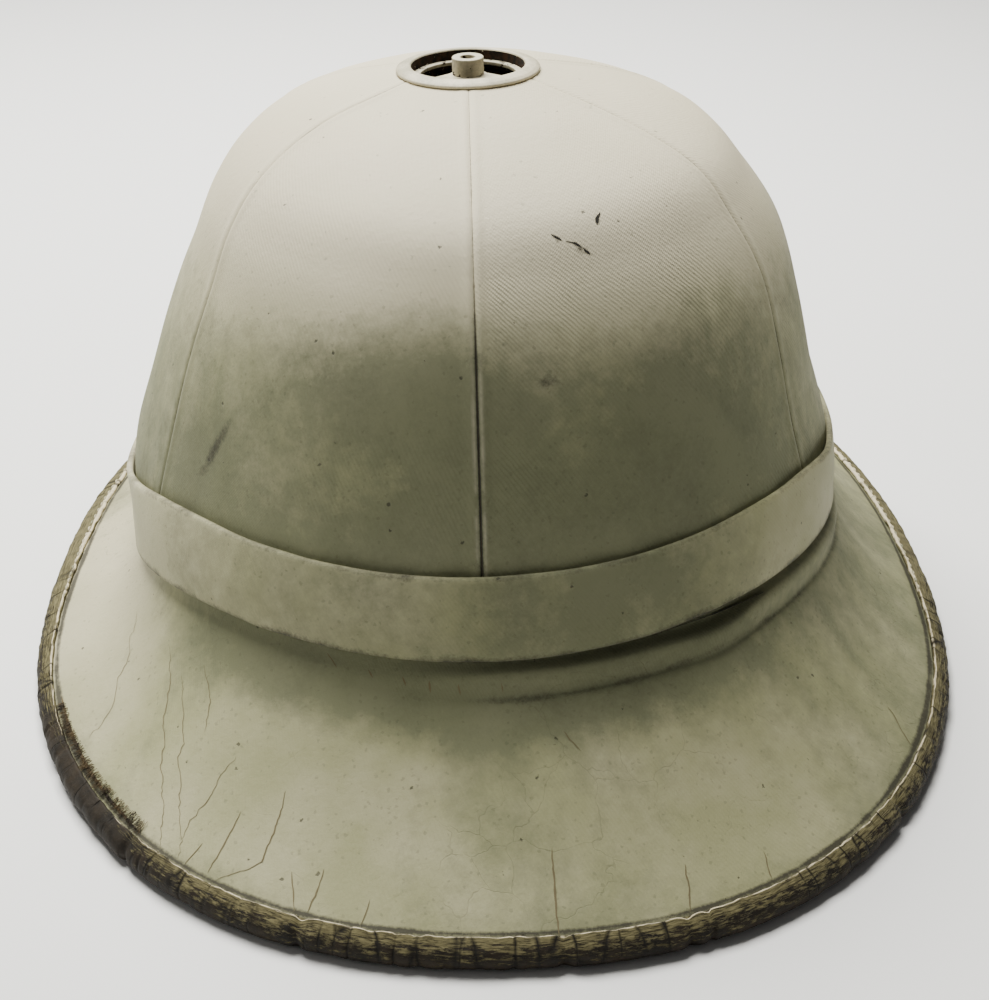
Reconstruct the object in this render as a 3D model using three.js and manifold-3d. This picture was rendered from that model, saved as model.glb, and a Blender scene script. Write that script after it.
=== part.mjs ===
import * as THREE from 'three';
import { mergeVertices, toCreasedNormals } from 'three/addons/utils/BufferGeometryUtils.js';
import Module from 'manifold-3d';

// Worn pith helmet. Millimetres, +Z up, front towards -Y, standing on its rim at z = 0.
// Angles go round the crown from the front (0) through the +X side.

const TURN = 2 * Math.PI;
const DEGREE = TURN / 360;
const GAP = 0.3;

// Crown: the outer face of its cloth, in rows measured from the crown's middle.
// The old shell leans a little to -X, and its +X shoulder is fuller.
const CROWN_MIDDLE = new THREE.Vector3(-3.9, 1.8, 58.3);
const CROWN_LEAN = 1.2 * DEGREE;
const CROWN_ROWS = [
  { height: -40, leftHalfWidth: 101.9, rightHalfWidth: 105.2, halfLength: 120.0 },
  { height: -15, leftHalfWidth: 102.9, rightHalfWidth: 104.2, halfLength: 119.8 },
  { height: 0, leftHalfWidth: 101.9, rightHalfWidth: 103.6, halfLength: 119.3 },
  { height: 20.7, leftHalfWidth: 95.3, rightHalfWidth: 97.9, halfLength: 112.1 },
  { height: 41.4, leftHalfWidth: 87.7, rightHalfWidth: 93.2, halfLength: 105.2 },
  { height: 60.1, leftHalfWidth: 79.0, rightHalfWidth: 87.9, halfLength: 96.6 },
  { height: 74.6, leftHalfWidth: 72.4, rightHalfWidth: 78.4, halfLength: 86.6 },
  { height: 87.0, leftHalfWidth: 62.0, rightHalfWidth: 66.9, halfLength: 73.6 },
  { height: 96.4, leftHalfWidth: 44.6, rightHalfWidth: 44.6, halfLength: 48.5 },
  { height: 103.4, leftHalfWidth: 16.9, rightHalfWidth: 16.9, halfLength: 16.9 },
];

// Band: the heights of its edges on the crown. Both dip at the sides, where the brim is short.
const BAND_FRONT = { top: 11.3, foot: -8.7 };
const BAND_LEFT = { top: -7.9, foot: -30.4 };
const BAND_RIGHT = { top: -0.5, foot: -20 };
const BAND_DIP_POWER = { top: 8, foot: 6 };
const BAND_THICKNESS = 1.9;
const TUCK = 3;

// Brim: the outline of the bound edge, a rounded oval.
const BRIM_HALF_WIDTH = 136.4;
const BRIM_FRONT = 169.8;
const BRIM_BACK = 180.9;
const BRIM_MIDDLE_Y = -5.55;
const BRIM_ROUNDNESS = 2.24;
const BRIM_END_SLOPE = 28 * DEGREE;
const BRIM_FLARE_REACH = 12;
const BRIM_END_REACH = 0.48;

// Layers
const CLOTH = 1.2;
const GLUE = 0.45;
const SHELL = 5.0;
const SHELL_AT_EDGE = 3.2;
const LEATHER = 1.1;
const EDGE_BODY = (CLOTH + GLUE + SHELL_AT_EDGE) / 2;
const NOSE = EDGE_BODY + GAP + LEATHER;

// Soft roll in the brim cloth, under the band on the front and the +X side.
const ROLL_HEIGHT = 2.3;
const ROLL_DISTANCE = 8;
const ROLL_REACH = 4.5;
const ROLL_STARTS = -22 * DEGREE;
const ROLL_FULL = 12 * DEGREE;
const ROLL_FADES = 100 * DEGREE;
const ROLL_ENDS = 128 * DEGREE;

// Ventilator, in heights above the crown's top edge.
const COLLAR_HOLE_RADIUS = 15.6;
const COLLAR_TUBE_RADIUS = 16.6;
const COLLAR_FLANGE_RADIUS = 19.8;
const COLLAR_LIP_HEIGHT = 1.4;
const COLLAR_TUBE_FOOT = -7.5;
const LEDGE_RADIUS = 14.4;
const LEDGE_HEIGHT = 1.0;
const SPIDER_TOP = -1.5;
const SPIDER_THICKNESS = 1.0;
const SPIDER_ARMS = 3;
const ARM_HALF_WIDTH_AT_BOSS = 3.0;
const ARM_HALF_WIDTH_AT_RING = 1.5;
const SPIDER_HOLE_INNER = 5.3;
const SPIDER_HOLE_OUTER = 13.3;
const BOSS_RADIUS = 4.35;
const BOSS_BORE = 2.05;
const BOSS_TOP = 3.2;

// Fineness
const STATIONS = 54;
const PANELS = 6;
const CROWN_STEPS = 7;
const CROWN_INNER_STEPS = [7, 6, 5, 3, 0];
const BRIM_CLIMBS = [0, 0.16, 0.34, 0.52, 0.7, 0.86, 1];
const BRIM_INNER_CLIMBS = [0.7, 0.5, 0.32, 0.15, 0];
const ROLL_CLIMBS = [0, 0.16, 0.34, 0.52, 0.66, 0.74, 0.82, 0.9, 1];
const NOSE_STEPS = 5;
const COLLAR_SEGMENTS = 30;
const BOSS_SEGMENTS = 20;
const PANEL_FOOT = 1.004;

const crownLine = new THREE.CatmullRomCurve3(
  CROWN_ROWS.map((row) => new THREE.Vector3(row.leftHalfWidth, row.rightHalfWidth, row.height)),
  false,
  'catmullrom',
  0.5,
);
const lengthLine = new THREE.CatmullRomCurve3(
  CROWN_ROWS.map((row) => new THREE.Vector3(row.halfLength, 0, row.height)),
  false,
  'catmullrom',
  0.5,
);
const crownAxis = new THREE.Vector3(-Math.sin(CROWN_LEAN), 0, Math.cos(CROWN_LEAN));

function mix(a, b, share) {
  return a + (b - a) * share;
}

function riseAt(height) {
  let low = 0;
  let high = 1;
  for (let i = 0; i < 30; i += 1) {
    const middle = (low + high) / 2;
    if (crownLine.getPoint(middle).z < height) {
      low = middle;
    } else {
      high = middle;
    }
  }
  return (low + high) / 2;
}

function lean(point) {
  const turned = point.clone().applyAxisAngle(new THREE.Vector3(0, 1, 0), -CROWN_LEAN);
  return turned.add(CROWN_MIDDLE);
}

function crownAt(rise, angle) {
  const row = crownLine.getPoint(rise);
  const halfLength = lengthLine.getPoint(rise).x;
  const halfWidth = mix(row.x, row.y, 0.5 + 0.5 * Math.sin(angle));
  return lean(new THREE.Vector3(halfWidth * Math.sin(angle), -halfLength * Math.cos(angle), row.z));
}

function bandEdge(name, angle) {
  const side = Math.sin(angle) < 0 ? BAND_LEFT : BAND_RIGHT;
  return mix(BAND_FRONT[name], side[name], Math.abs(Math.sin(angle)) ** BAND_DIP_POWER[name]);
}

function rootRise(angle) {
  return riseAt(bandEdge('foot', angle) + TUCK);
}

function power(value) {
  return Math.sign(value) * Math.abs(value) ** (2 / BRIM_ROUNDNESS);
}

function edgeCore(angle) {
  const length = Math.cos(angle) > 0 ? BRIM_FRONT : BRIM_BACK;
  return new THREE.Vector3(
    (BRIM_HALF_WIDTH - NOSE) * power(Math.sin(angle)),
    BRIM_MIDDLE_Y - (length - NOSE) * power(Math.cos(angle)),
    NOSE,
  );
}

function edgeOutward(angle) {
  const along = edgeCore(angle + 0.02).sub(edgeCore(angle - 0.02));
  return new THREE.Vector3(along.y, -along.x, 0).normalize();
}

function edgeDown(angle) {
  const down = edgeOutward(angle).multiplyScalar(Math.cos(BRIM_END_SLOPE));
  down.z = -Math.sin(BRIM_END_SLOPE);
  return down;
}

function edgeUp(angle) {
  const up = edgeOutward(angle).multiplyScalar(Math.sin(BRIM_END_SLOPE));
  up.z = Math.cos(BRIM_END_SLOPE);
  return up;
}

// The brim's top cloth face, from the edge (0) to under the band (1).
function brimAt(climb, angle) {
  const rise = rootRise(angle);
  const root = crownAt(rise, angle);
  const wallDown = crownAt(rise - 0.01, angle).sub(root).normalize();
  const edge = edgeCore(angle).addScaledVector(edgeUp(angle), EDGE_BODY);
  const run = Math.hypot(edge.x - root.x, edge.y - root.y);
  const curve = new THREE.CubicBezierCurve3(
    edge,
    edge.clone().addScaledVector(edgeDown(angle), -BRIM_END_REACH * run),
    root.clone().addScaledVector(wallDown, BRIM_FLARE_REACH),
    root,
  );
  return curve.getPoint(climb);
}

// The whole cloth face: brim from 0 to 1, crown from 1 to 2.
function faceAt(climb, angle) {
  if (climb <= 1) {
    return brimAt(climb, angle);
  }
  return crownAt(mix(rootRise(angle), 1, climb - 1), angle);
}

function normalAt(climb, angle) {
  if (climb >= 2) {
    return crownAxis.clone();
  }
  if (climb <= 0) {
    return edgeUp(angle);
  }
  const upward = faceAt(climb + 0.01, angle).sub(faceAt(climb - 0.01, angle));
  const along = faceAt(climb, angle + 0.02).sub(faceAt(climb, angle - 0.02));
  return along.cross(upward).normalize();
}

function layerAt(climb, angle, depth) {
  return faceAt(climb, angle).addScaledVector(normalAt(climb, angle), -depth);
}

function shellDepth(climb) {
  return CLOTH + GLUE + mix(SHELL_AT_EDGE, SHELL, Math.min(1, climb));
}

function rollAt(climb, angle) {
  const turn = angle > Math.PI ? angle - TURN : angle;
  const rise = THREE.MathUtils.smoothstep(turn, ROLL_STARTS, ROLL_FULL);
  const fall = 1 - THREE.MathUtils.smoothstep(turn, ROLL_FADES, ROLL_ENDS);
  const distance = brimAt(climb, angle).distanceTo(brimAt(1, angle));
  const share = Math.min(1, Math.abs(distance - ROLL_DISTANCE) / ROLL_REACH);
  return ROLL_HEIGHT * rise * fall * (1 - share * share) ** 2;
}

function station(index) {
  return (TURN * index) / STATIONS;
}

function meshOf(positions, indices) {
  const geometry = new THREE.BufferGeometry();
  geometry.setAttribute('position', new THREE.Float32BufferAttribute(positions, 3));
  geometry.setIndex(indices);
  return geometry;
}

// A ring swept round the helmet: sectionAt gives the same number of points at every angle.
function ringGeometry(sectionAt) {
  const positions = [];
  const indices = [];
  const count = sectionAt(0).length;
  for (let j = 0; j < STATIONS; j += 1) {
    for (const point of sectionAt(station(j))) {
      positions.push(point.x, point.y, point.z);
    }
    for (let i = 0; i < count; i += 1) {
      const next = (j + 1) % STATIONS;
      const a = j * count + i;
      const b = j * count + ((i + 1) % count);
      const c = next * count + ((i + 1) % count);
      const d = next * count + i;
      indices.push(a, c, b, a, d, c);
    }
  }
  return meshOf(positions, indices);
}

function shellSection(angle) {
  const section = [];
  for (const climb of BRIM_CLIMBS) {
    section.push(layerAt(climb, angle, CLOTH + GLUE));
  }
  for (let i = 1; i <= CROWN_STEPS; i += 1) {
    section.push(layerAt(mix(PANEL_FOOT, 2, i / CROWN_STEPS), angle, CLOTH + GLUE));
  }
  for (const step of CROWN_INNER_STEPS) {
    const climb = mix(PANEL_FOOT, 2, step / CROWN_STEPS);
    section.push(layerAt(climb, angle, shellDepth(climb)));
  }
  for (const climb of BRIM_INNER_CLIMBS) {
    section.push(layerAt(climb, angle, shellDepth(climb)));
  }
  return section;
}

function coverSection(angle) {
  const section = [];
  for (const climb of ROLL_CLIMBS) {
    section.push(layerAt(climb, angle, -rollAt(climb, angle)));
  }
  for (const climb of [...BRIM_CLIMBS].reverse()) {
    section.push(layerAt(climb, angle, CLOTH));
  }
  return section;
}

function bandSection(angle) {
  const section = [];
  const foot = bandEdge('foot', angle);
  const top = bandEdge('top', angle);
  const rows = [
    { share: 0, out: GAP + 0.9 },
    { share: 0.02, out: GAP + 0.9 + BAND_THICKNESS },
    { share: 0.33, out: GAP + 0.4 + BAND_THICKNESS },
    { share: 0.67, out: GAP + 0.1 + BAND_THICKNESS },
    { share: 0.98, out: GAP + BAND_THICKNESS },
    { share: 1, out: GAP },
    { share: 0.67, out: GAP + 0.1 },
    { share: 0.33, out: GAP + 0.4 },
  ];
  for (const row of rows) {
    const rise = riseAt(mix(foot, top, row.share));
    const along = crownAt(rise, angle + 0.02).sub(crownAt(rise, angle - 0.02));
    const upward = crownAt(rise + 0.01, angle).sub(crownAt(rise - 0.01, angle));
    section.push(crownAt(rise, angle).addScaledVector(along.cross(upward).normalize(), row.out));
  }
  return section;
}

function bindingSection(angle) {
  const section = [];
  const core = edgeCore(angle);
  const down = edgeDown(angle);
  const up = edgeUp(angle);
  const length = faceAt(0.15, angle).distanceTo(faceAt(0, angle));
  const lip = (0.15 * 6) / length;
  const inner = EDGE_BODY + GAP;
  section.push(layerAt(lip, angle, -GAP));
  section.push(layerAt(lip, angle, -GAP - LEATHER));
  for (let i = 0; i <= NOSE_STEPS; i += 1) {
    const turn = Math.PI * (0.5 - i / NOSE_STEPS);
    section.push(
      core
        .clone()
        .addScaledVector(up, NOSE * Math.sin(turn))
        .addScaledVector(down, NOSE * Math.cos(turn)),
    );
  }
  section.push(layerAt(lip, angle, shellDepth(lip) + GAP + LEATHER));
  section.push(layerAt(lip, angle, shellDepth(lip) + GAP));
  for (let i = 0; i <= 3; i += 1) {
    const turn = Math.PI * (i / 3 - 0.5);
    section.push(
      core
        .clone()
        .addScaledVector(up, inner * Math.sin(turn))
        .addScaledVector(down, inner * Math.cos(turn)),
    );
  }
  return section.reverse();
}

// One gore: a grid on the outer cloth face, the same grid under it, and the four edges.
function panelGeometry(number) {
  const columns = STATIONS / PANELS;
  const positions = [];
  const indices = [];
  const across = columns + 1;
  const half = across * (CROWN_STEPS + 1);
  for (const depth of [0, CLOTH]) {
    for (let i = 0; i <= CROWN_STEPS; i += 1) {
      const climb = mix(PANEL_FOOT, 2, i / CROWN_STEPS);
      for (let j = 0; j <= columns; j += 1) {
        const seam = station(number * columns + j);
        const radius = faceAt(climb, seam).sub(CROWN_MIDDLE).setZ(0).length();
        const trim = (GAP / 2 / radius) * (j === 0 ? 1 : j === columns ? -1 : 0);
        const point = layerAt(climb, seam + trim, depth);
        positions.push(point.x, point.y, point.z);
      }
    }
  }
  for (let i = 0; i < CROWN_STEPS; i += 1) {
    for (let j = 0; j < columns; j += 1) {
      const a = i * across + j;
      const b = a + 1;
      const c = a + across + 1;
      const d = a + across;
      indices.push(a, b, c, a, c, d);
      indices.push(half + a, half + c, half + b, half + a, half + d, half + c);
    }
  }
  const rim = [];
  for (let j = 0; j < columns; j += 1) {
    rim.push(j);
  }
  for (let i = 0; i < CROWN_STEPS; i += 1) {
    rim.push(i * across + columns);
  }
  for (let j = columns; j > 0; j -= 1) {
    rim.push(CROWN_STEPS * across + j);
  }
  for (let i = CROWN_STEPS; i > 0; i -= 1) {
    rim.push(i * across);
  }
  rim.forEach((a, index) => {
    const b = rim[(index + 1) % rim.length];
    indices.push(a, half + a, half + b, a, half + b, b);
  });
  return meshOf(positions, indices);
}

function turnedGeometry(section, segments) {
  const profile = [...section, section[0]].map((point) => new THREE.Vector2(point.radius, point.height));
  const geometry = new THREE.LatheGeometry(profile, segments);
  geometry.deleteAttribute('normal');
  geometry.deleteAttribute('uv');
  return mergeVertices(geometry.rotateX(Math.PI / 2), 1e-4);
}

function collarGeometry() {
  const ledgeTop = SPIDER_TOP - SPIDER_THICKNESS - GAP;
  const ledgeFoot = ledgeTop - LEDGE_HEIGHT;
  return turnedGeometry(
    [
      { radius: COLLAR_HOLE_RADIUS, height: COLLAR_TUBE_FOOT },
      { radius: COLLAR_TUBE_RADIUS, height: COLLAR_TUBE_FOOT },
      { radius: COLLAR_TUBE_RADIUS, height: GAP },
      { radius: COLLAR_FLANGE_RADIUS, height: -GAP },
      { radius: COLLAR_FLANGE_RADIUS, height: GAP },
      { radius: COLLAR_FLANGE_RADIUS - 0.9, height: COLLAR_LIP_HEIGHT - 0.6 },
      { radius: COLLAR_HOLE_RADIUS + 1, height: COLLAR_LIP_HEIGHT },
      { radius: COLLAR_HOLE_RADIUS, height: COLLAR_LIP_HEIGHT - 0.3 },
      { radius: COLLAR_HOLE_RADIUS, height: ledgeTop },
      { radius: LEDGE_RADIUS, height: ledgeTop },
      { radius: LEDGE_RADIUS, height: ledgeFoot },
      { radius: COLLAR_HOLE_RADIUS, height: ledgeFoot },
    ],
    COLLAR_SEGMENTS,
  );
}

function armEdge(radius) {
  const share = (radius - SPIDER_HOLE_INNER) / (SPIDER_HOLE_OUTER - SPIDER_HOLE_INNER);
  return Math.asin(mix(ARM_HALF_WIDTH_AT_BOSS, ARM_HALF_WIDTH_AT_RING, share) / radius);
}

function spiderGeometry(wasm) {
  const disc = new THREE.Shape();
  disc.absarc(0, 0, COLLAR_HOLE_RADIUS - GAP, 0, TURN, false);
  const middle = new THREE.Path();
  middle.absarc(0, 0, (BOSS_BORE + BOSS_RADIUS) / 2, 0, TURN, true);
  disc.holes.push(middle);
  const pitch = TURN / SPIDER_ARMS;
  for (let arm = 0; arm < SPIDER_ARMS; arm += 1) {
    const from = TURN / 4 + arm * pitch;
    const outline = [];
    for (let i = 0; i <= 4; i += 1) {
      const radius = mix(SPIDER_HOLE_INNER, SPIDER_HOLE_OUTER, i / 4);
      outline.push({ radius, angle: from + armEdge(radius) });
    }
    for (let i = 1; i < 8; i += 1) {
      const edge = armEdge(SPIDER_HOLE_OUTER);
      outline.push({ radius: SPIDER_HOLE_OUTER, angle: from + mix(edge, pitch - edge, i / 8) });
    }
    for (let i = 4; i >= 0; i -= 1) {
      const radius = mix(SPIDER_HOLE_INNER, SPIDER_HOLE_OUTER, i / 4);
      outline.push({ radius, angle: from + pitch - armEdge(radius) });
    }
    const points = outline.map(
      (corner) =>
        new THREE.Vector2(
          corner.radius * Math.cos(corner.angle),
          corner.radius * Math.sin(corner.angle),
        ),
    );
    disc.holes.push(new THREE.Path(points));
  }
  const plate = new THREE.ExtrudeGeometry(disc, {
    depth: SPIDER_THICKNESS,
    bevelEnabled: false,
    curveSegments: COLLAR_SEGMENTS / 2,
  });
  plate.translate(0, 0, SPIDER_TOP - SPIDER_THICKNESS);
  const boss = turnedGeometry(
    [
      { radius: BOSS_BORE, height: SPIDER_TOP - SPIDER_THICKNESS },
      { radius: BOSS_RADIUS, height: SPIDER_TOP - SPIDER_THICKNESS },
      { radius: BOSS_RADIUS, height: BOSS_TOP },
      { radius: BOSS_BORE, height: BOSS_TOP },
    ],
    BOSS_SEGMENTS,
  );
  return geometryOf(solidOf(wasm, plate).add(solidOf(wasm, boss)));
}

function solidOf(wasm, source) {
  const geometry = source.clone();
  geometry.deleteAttribute('normal');
  geometry.deleteAttribute('uv');
  const merged = mergeVertices(geometry, 1e-4);
  const mesh = new wasm.Mesh({
    numProp: 3,
    vertProperties: new Float32Array(merged.attributes.position.array),
    triVerts: new Uint32Array(merged.index.array),
  });
  return new wasm.Manifold(mesh);
}

function geometryOf(solid) {
  const mesh = solid.getMesh();
  return meshOf(Array.from(mesh.vertProperties), Array.from(mesh.triVerts));
}

function onCrownTop(geometry) {
  const top = lean(new THREE.Vector3(0, 0, CROWN_ROWS[CROWN_ROWS.length - 1].height));
  geometry.rotateY(-CROWN_LEAN);
  geometry.translate(top.x, top.y, top.z);
  return geometry;
}

const wasm = await Module();
wasm.setup();

const pith = new THREE.MeshStandardMaterial({ color: 0xb79a6c, roughness: 0.95, metalness: 0 });
const cloth = new THREE.MeshStandardMaterial({ color: 0xc9c2a6, roughness: 0.85, metalness: 0 });
const leather = new THREE.MeshStandardMaterial({ color: 0x3a332a, roughness: 0.7, metalness: 0 });
const metal = new THREE.MeshStandardMaterial({ color: 0xc4bda4, roughness: 0.6, metalness: 0.3 });

const helmet = new THREE.Group();
helmet.name = 'pith_helmet';

function addPiece(name, geometry, material) {
  const mesh = new THREE.Mesh(toCreasedNormals(geometry, 0.7), material);
  mesh.name = name;
  helmet.add(mesh);
}

addPiece('helmet_shell', ringGeometry(shellSection), pith);
for (let number = 0; number < PANELS; number += 1) {
  addPiece(`crown_panel_${number + 1}`, panelGeometry(number), cloth);
}
addPiece('brim_cover', ringGeometry(coverSection), cloth);
addPiece('crown_band', ringGeometry(bandSection), cloth);
addPiece('edge_binding', ringGeometry(bindingSection), leather);
addPiece('vent_collar', onCrownTop(collarGeometry()), metal);
addPiece('vent_spider', onCrownTop(spiderGeometry(wasm)), metal);

export default helmet;
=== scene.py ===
"""A worn pith helmet: cloth gores over a moulded pith shell, a cloth band, a bell-shaped brim
with a leather binding, and a metal ventilator. Lengths are millimetres until a mesh is made."""

import math
import random

import bpy
import numpy as np
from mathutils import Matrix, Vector, noise


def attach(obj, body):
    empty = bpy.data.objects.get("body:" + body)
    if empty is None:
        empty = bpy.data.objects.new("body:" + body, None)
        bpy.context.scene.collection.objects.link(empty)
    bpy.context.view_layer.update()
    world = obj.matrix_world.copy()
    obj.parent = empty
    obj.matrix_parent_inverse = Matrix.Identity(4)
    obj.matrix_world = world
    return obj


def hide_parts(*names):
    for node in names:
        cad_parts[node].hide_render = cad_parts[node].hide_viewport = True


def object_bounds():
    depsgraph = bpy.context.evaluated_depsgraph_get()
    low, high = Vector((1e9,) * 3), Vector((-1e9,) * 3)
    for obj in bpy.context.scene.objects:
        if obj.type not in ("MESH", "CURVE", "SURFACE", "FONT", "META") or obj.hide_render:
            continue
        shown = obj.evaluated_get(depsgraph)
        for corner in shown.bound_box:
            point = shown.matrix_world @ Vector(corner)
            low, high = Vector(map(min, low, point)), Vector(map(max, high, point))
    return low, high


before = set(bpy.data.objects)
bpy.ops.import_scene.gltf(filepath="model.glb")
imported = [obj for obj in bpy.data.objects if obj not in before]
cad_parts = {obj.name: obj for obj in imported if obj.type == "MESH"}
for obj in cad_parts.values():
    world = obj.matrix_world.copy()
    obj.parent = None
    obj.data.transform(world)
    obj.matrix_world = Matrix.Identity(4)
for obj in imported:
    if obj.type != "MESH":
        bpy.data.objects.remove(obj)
cad_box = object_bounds()

MM = 0.001
TURN = 2 * math.pi

# ---------------------------------------------------------------- the maker's sizes

CROWN_MIDDLE = np.array([-3.9, 1.8, 58.3])
CROWN_LEAN = math.radians(1.2)
# height, half width on the -X side, half width on the +X side, half length
CROWN_ROWS = np.array([
    [-40.0, 101.9, 105.2, 120.0],
    [-15.0, 102.9, 104.2, 119.8],
    [0.0, 101.9, 103.6, 119.3],
    [20.7, 95.3, 97.9, 112.1],
    [41.4, 87.7, 93.2, 105.2],
    [60.1, 79.0, 87.9, 96.6],
    [74.6, 72.4, 78.4, 86.6],
    [87.0, 62.0, 66.9, 73.6],
    [96.4, 44.6, 44.6, 48.5],
    [103.4, 16.9, 16.9, 16.9],
])
BAND_FRONT = {"top": 11.3, "foot": -8.7}
BAND_LEFT = {"top": -7.9, "foot": -30.4}
BAND_RIGHT = {"top": -0.5, "foot": -20.0}
BAND_DIP_POWER = {"top": 8, "foot": 6}
BAND_THICKNESS = 1.9
TUCK = 3.0
BRIM_HALF_WIDTH = 136.4
BRIM_FRONT = 169.8
BRIM_BACK = 180.9
BRIM_MIDDLE_Y = -5.55
BRIM_ROUNDNESS = 2.24
BRIM_END_SLOPE = math.radians(28)
BRIM_FLARE_REACH = 12.0
BRIM_END_REACH = 0.48
CLOTH = 1.2
GLUE = 0.45
SHELL = 5.0
SHELL_AT_EDGE = 3.2
LEATHER = 1.1
GAP = 0.3
EDGE_BODY = (CLOTH + GLUE + SHELL_AT_EDGE) / 2
NOSE = EDGE_BODY + GAP + LEATHER
PANELS = 6
PANEL_FOOT = 1.004
BOSS_RADIUS = 4.35
BORE = 2.05
BOSS_TOP = 3.2
COLLAR_HOLE = 15.6
COLLAR_TUBE = 16.6
TUBE_FOOT = -7.5
LEDGE_RADIUS = 14.4
LEDGE_TOP = -2.8


# ---------------------------------------------------------------- the helmet's form

def crown_row(rise):
    """The crown's row at a share of its rise, on a smooth curve through CROWN_ROWS."""
    along = np.clip(rise, 0, 1) * (len(CROWN_ROWS) - 1)
    first = np.minimum(along.astype(int), len(CROWN_ROWS) - 2)
    share = (along - first)[..., None]
    rows = np.vstack([2 * CROWN_ROWS[0] - CROWN_ROWS[1], CROWN_ROWS, 2 * CROWN_ROWS[-1] - CROWN_ROWS[-2]])
    a, b, c, d = rows[first], rows[first + 1], rows[first + 2], rows[first + 3]
    leave = (c - a) / 2
    arrive = (d - b) / 2
    square = (-3 * b + 3 * c - 2 * leave - arrive) * share**2
    cube = (2 * b - 2 * c + leave + arrive) * share**3
    return b + leave * share + square + cube


RISES = np.linspace(0, 1, 4001)
HEIGHTS = crown_row(RISES)[:, 0]


def rise_at(height):
    return np.interp(height, HEIGHTS, RISES)


def lean(x, y, z):
    """From the crown's own upright frame to the helmet's."""
    turned = np.stack([
        x * math.cos(CROWN_LEAN) - z * math.sin(CROWN_LEAN),
        y + 0 * x,
        x * math.sin(CROWN_LEAN) + z * math.cos(CROWN_LEAN),
    ], -1)
    return turned + CROWN_MIDDLE


def crown_at(rise, angle):
    row = crown_row(rise)
    share = 0.5 + 0.5 * np.sin(angle)
    half_width = row[..., 1] * (1 - share) + row[..., 2] * share
    return lean(half_width * np.sin(angle), -row[..., 3] * np.cos(angle), row[..., 0])


def band_edge(name, angle):
    side = np.where(np.sin(angle) < 0, BAND_LEFT[name], BAND_RIGHT[name])
    share = np.abs(np.sin(angle)) ** BAND_DIP_POWER[name]
    return BAND_FRONT[name] * (1 - share) + side * share


def root_rise(angle):
    return rise_at(band_edge("foot", angle) + TUCK)


def rounded(value):
    return np.sign(value) * np.abs(value) ** (2 / BRIM_ROUNDNESS)


def edge_core(angle):
    """The middle of the bound edge."""
    length = np.where(np.cos(angle) > 0, BRIM_FRONT, BRIM_BACK)
    return np.stack([
        (BRIM_HALF_WIDTH - NOSE) * rounded(np.sin(angle)),
        BRIM_MIDDLE_Y - (length - NOSE) * rounded(np.cos(angle)),
        NOSE + 0 * angle,
    ], -1)


def edge_axes(angle):
    """At the edge, the directions down the slope and up out of the cloth."""
    along = edge_core(angle + 0.02) - edge_core(angle - 0.02)
    outward = np.stack([along[..., 1], -along[..., 0], 0 * angle], -1)
    outward /= np.linalg.norm(outward, axis=-1, keepdims=True)
    level = np.array([0, 0, 1.0])
    down = outward * math.cos(BRIM_END_SLOPE) - level * math.sin(BRIM_END_SLOPE)
    up = outward * math.sin(BRIM_END_SLOPE) + level * math.cos(BRIM_END_SLOPE)
    return down, up


def brim_at(climb, angle):
    rise = root_rise(angle)
    root = crown_at(rise, angle)
    wall = crown_at(rise - 0.01, angle) - root
    wall /= np.linalg.norm(wall, axis=-1, keepdims=True)
    down, up = edge_axes(angle)
    edge = edge_core(angle) + up * EDGE_BODY
    run = np.hypot(edge[..., 0] - root[..., 0], edge[..., 1] - root[..., 1])[..., None]
    near_edge = edge - down * BRIM_END_REACH * run
    near_root = root + wall * BRIM_FLARE_REACH
    t = climb[..., None]
    start = (1 - t) ** 3 * edge + 3 * t * (1 - t) ** 2 * near_edge
    return start + 3 * t**2 * (1 - t) * near_root + t**3 * root


def face_at(climb, angle):
    """The whole cloth face: brim from 0 at the edge to 1, crown from 1 to 2 at the ventilator."""
    climb, angle = np.broadcast_arrays(np.asarray(climb, float), np.asarray(angle, float))
    brim = brim_at(np.clip(climb, 0, 1), angle)
    root = root_rise(angle)
    crown = crown_at(root + (1 - root) * np.clip(climb - 1, 0, 1), angle)
    return np.where((climb <= 1)[..., None], brim, crown)


def normal_at(climb, angle):
    climb, angle = np.broadcast_arrays(np.asarray(climb, float), np.asarray(angle, float))
    upward = face_at(np.minimum(climb + 0.008, 2), angle) - face_at(np.maximum(climb - 0.008, 0), angle)
    along = face_at(climb, angle + 0.01) - face_at(climb, angle - 0.01)
    out = np.cross(along, upward)
    return out / np.linalg.norm(out, axis=-1, keepdims=True)


def smooth(value, low, high):
    share = np.clip((value - low) / (high - low), 0, 1)
    return share * share * (3 - 2 * share)


def signed(angle):
    """An angle as -180 to 180 degrees, 0 at the front."""
    return (np.degrees(angle) + 180) % 360 - 180


def hump(value, middle, reach):
    return np.exp(-(((value - middle) / reach) ** 2))


def ripple(points, size, seed):
    """Smooth noise from -1 to 1 at every point; size is the length of its waves."""
    shift = Vector((seed * 13.7, seed * 5.3, seed * 9.1))
    flat = points.reshape(-1, 3) / size
    values = [noise.noise(Vector(p) + shift) for p in flat.tolist()]
    return np.array(values).reshape(points.shape[:-1])


def line_ripple(value, size, seed):
    """The same along one line."""
    flat = np.asarray(value, float).ravel() / size
    values = [noise.noise(Vector((v, seed * 7.7, seed * 3.1))) for v in flat.tolist()]
    return np.array(values).reshape(np.shape(value))


# ---------------------------------------------------------------- meshes

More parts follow.
